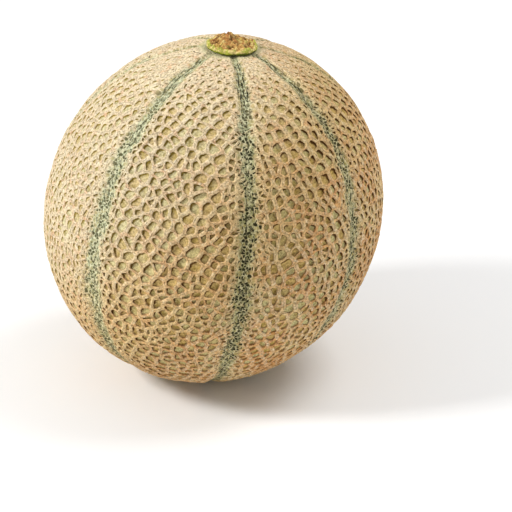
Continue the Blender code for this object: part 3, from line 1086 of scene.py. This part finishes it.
def band_looks():
    """Sage green bands with pale strands and dense dark flecks."""
    look = Looks("suture_band")
    rise = look.attribute("rise")
    tone = look.attribute("tone")
    green = look.attribute("green")
    core = look.attribute("core")
    dark = look.attribute("dark")
    stem = look.attribute("stem")
    along = look.attribute("along")
    across = look.attribute("across")
    streak_place = look.vector(along, look.math("MULTIPLY", across, 2.6), 0.0)
    streaks = look.noise(0.0030, 3.0, streak_place, 0.65)
    band = look.mix(look.span(streaks, 0.36, 0.60), SAGE, PALE_SAGE)
    band = look.mix(look.span(dark, 0.75, 1.0, 0.0, 0.28), band, DARK_SAGE)
    # Paler bands on the upper left: partly their own colour, partly painted light
    band = look.mix(look.span(look.attribute("pale"), 0.40, 0.95, 0.0, 0.45), band, MIST)
    spread = look.times(green, look.span(look.noise(0.0024, 3.0), 0.3, 0.7, 0.7, 1.7))
    colour = look.mix(spread, cork_colour(look), band)
    ink = look.mix(look.span(dark, 0.2, 0.9), GREY_GREEN, FLECK)
    deep = look.span(rise, 0.20, 0.46)
    colour = look.mix(look.times(deep, 0.45), colour, OLIVE)
    by_core = look.math("MULTIPLY", core, look.span(dark, 0.2, 1.0, 0.28, 0.76))
    chance = look.math("ADD", tone, by_core)
    open_slit = look.span(chance, 0.80, 0.96)
    open_slit = look.math("SUBTRACT", open_slit, look.math("MULTIPLY", stem, 0.6), clamp=True)
    fleck_place = look.vector(along, look.math("MULTIPLY", across, 2.0), 0.0)
    flecks = look.noise(0.0021, 2.0, fleck_place, 0.6, 0.5)
    level = look.math("ADD", flecks, look.math("MULTIPLY", core, 0.06))
    torn = look.times(look.span(level, 0.60, 0.645), look.span(core, 0.02, 0.20))
    torn = look.math("SUBTRACT", torn, look.math("MULTIPLY", stem, 0.8), clamp=True)
    line_place = look.vector(look.math("MULTIPLY", along, 0.16), across, 0.0)
    lines = look.noise(0.00065, 2.0, line_place, 0.6)
    by_stem = look.times(look.span(lines, 0.51, 0.58), look.span(stem, 0.10, 0.50))
    by_stem = look.times(by_stem, look.span(green, 0.25, 0.55))
    share = look.math("MAXIMUM", look.times(deep, open_slit), look.times(torn, 0.85))
    share = look.math("MAXIMUM", share, by_stem)
    strength = look.span(dark, 0.2, 1.0, 0.60, 0.96)
    colour = look.mix(look.times(share, strength), colour, ink)
    colour = warmed(look, mottled(look, colour, 0.5), 0.4)
    colour = look.mix(look.times(look.attribute("collar"), 0.5), colour, GREY_COLLAR)
    height = look.math("SUBTRACT", look.noise(0.0008, 2.0, streak_place), look.times(share, 0.7))
    normal = look.bump(height, 0.00028)
    roughness = look.span(streaks, 0.3, 0.7, 0.55, 0.8)
    return look.done(colour, roughness, normal, RIND_GLOSS)


def stub_looks():
    """Cracked tan cork inside a lime green rim."""
    look = Looks("stem_cork")
    cork = look.attribute("cork")
    crack = look.attribute("crack")
    under = look.attribute("under")
    patches = look.noise(0.0026, 3.0)
    # Straw patches on the rim: partly the stub's own colour, partly painted highlights
    rim = look.mix(look.span(look.noise(0.0017, 2.0), 0.44, 0.60), LIME, STRAW_AND_HIGHLIGHT)
    lower = look.mix(look.span(patches, 0.42, 0.60), GRASS, MOSS)
    rim = look.mix(look.span(under, 0.15, 0.75), rim, lower)
    middle = look.mix(look.span(patches, 0.40, 0.62), CORK, BROWN_CORK)
    # Straw patches on the cork: partly its own colour, partly painted highlights
    middle = look.mix(look.span(look.noise(0.0020, 3.0), 0.48, 0.64, 0.0, 0.7), middle, STRAW_AND_HIGHLIGHT)
    middle = look.mix(look.span(look.noise(0.0045, 2.0), 0.52, 0.68, 0.0, 0.6), middle, LIME)
    edge = look.math("ADD", cork, look.math("MULTIPLY", look.noise(0.0034, 3.0), 1.5))
    colour = look.mix(look.span(edge, 1.10, 1.40), rim, middle)
    # Painted shade: the foot of the rim by the seat darker moss green, partly the rim's own colour
    colour = look.mix(look.span(under, 0.6, 1.0, 0.0, 0.7), colour, MOSS)
    colour = look.mix(look.times(crack, 0.85), colour, CRACK)
    colour = mottled(look, colour, 0.6)
    normal = look.bump(look.noise(0.0005, 3.0, roughness=0.6), 0.0004)
    return look.done(colour, 0.8, normal, STUB_GLOSS)


def plain(name, colour, roughness):
    return Looks(name).done(colour, roughness)


def add_camera():
    """The camera looks along +Y and down, with the body's centre on its pixel of the image."""
    camera = bpy.data.objects.new("camera", bpy.data.cameras.new("camera"))
    bpy.context.scene.collection.objects.link(camera)
    camera.data.sensor_width = SENSOR * 1000.0
    camera.data.lens = FOCAL_PIXELS * SENSOR * 1000.0 / IMAGE_PIXELS
    back = Vector((0.0, -math.cos(VIEW_ELEVATION), math.sin(VIEW_ELEVATION)))
    up = Vector((0.0, math.sin(VIEW_ELEVATION), math.cos(VIEW_ELEVATION)))
    aim = -back
    aim += Vector((1.0, 0.0, 0.0)) * (IMAGE_PIXELS / 2 - BODY_PIXEL[0]) / FOCAL_PIXELS
    aim += up * (BODY_PIXEL[1] - IMAGE_PIXELS / 2) / FOCAL_PIXELS
    camera.location = Vector(CENTRE) + back * VIEW_DISTANCE
    camera.rotation_euler = aim.to_track_quat("-Z", "Y").to_euler()
    camera.data.clip_start = NEAREST_SEEN
    bpy.context.scene.camera = camera


def add_light(name, place, size, power, colour):
    """A square soft light that faces the body's centre."""
    light = bpy.data.lights.new(name, "AREA")
    light.size = size
    light.energy = power
    light.color = colour
    holder = bpy.data.objects.new(name, light)
    holder.location = place
    towards = Vector(CENTRE) - Vector(place)
    holder.rotation_euler = towards.to_track_quat("-Z", "Y").to_euler()
    bpy.context.scene.collection.objects.link(holder)


def add_studio():
    """Even white surroundings, two soft lights and a pale floor."""
    world = bpy.data.worlds.new("studio")
    world.use_nodes = True
    background = world.node_tree.nodes["Background"]
    background.inputs["Color"].default_value = (1.0, 1.0, 1.0, 1.0)
    background.inputs["Strength"].default_value = WORLD_STRENGTH
    bpy.context.scene.world = world
    for name, settings in LIGHTS.items():
        add_light(name, *settings)
    floor_mesh = bpy.data.meshes.new("floor")
    low, high = -FLOOR_REACH, FLOOR_REACH
    corners = [(low, low, 0.0), (high, low, 0.0), (high, high, 0.0), (low, high, 0.0)]
    floor_mesh.from_pydata(corners, [], [(0, 1, 2, 3)])
    floor_mesh.materials.append(plain("floor", FLOOR_COLOUR, FLOOR_ROUGHNESS))
    floor = bpy.data.objects.new("floor", floor_mesh)
    bpy.context.scene.collection.objects.link(floor)
    bpy.context.scene.view_settings.view_transform = "Standard"


add_camera()
add_studio()
add_rind()
add_stub()
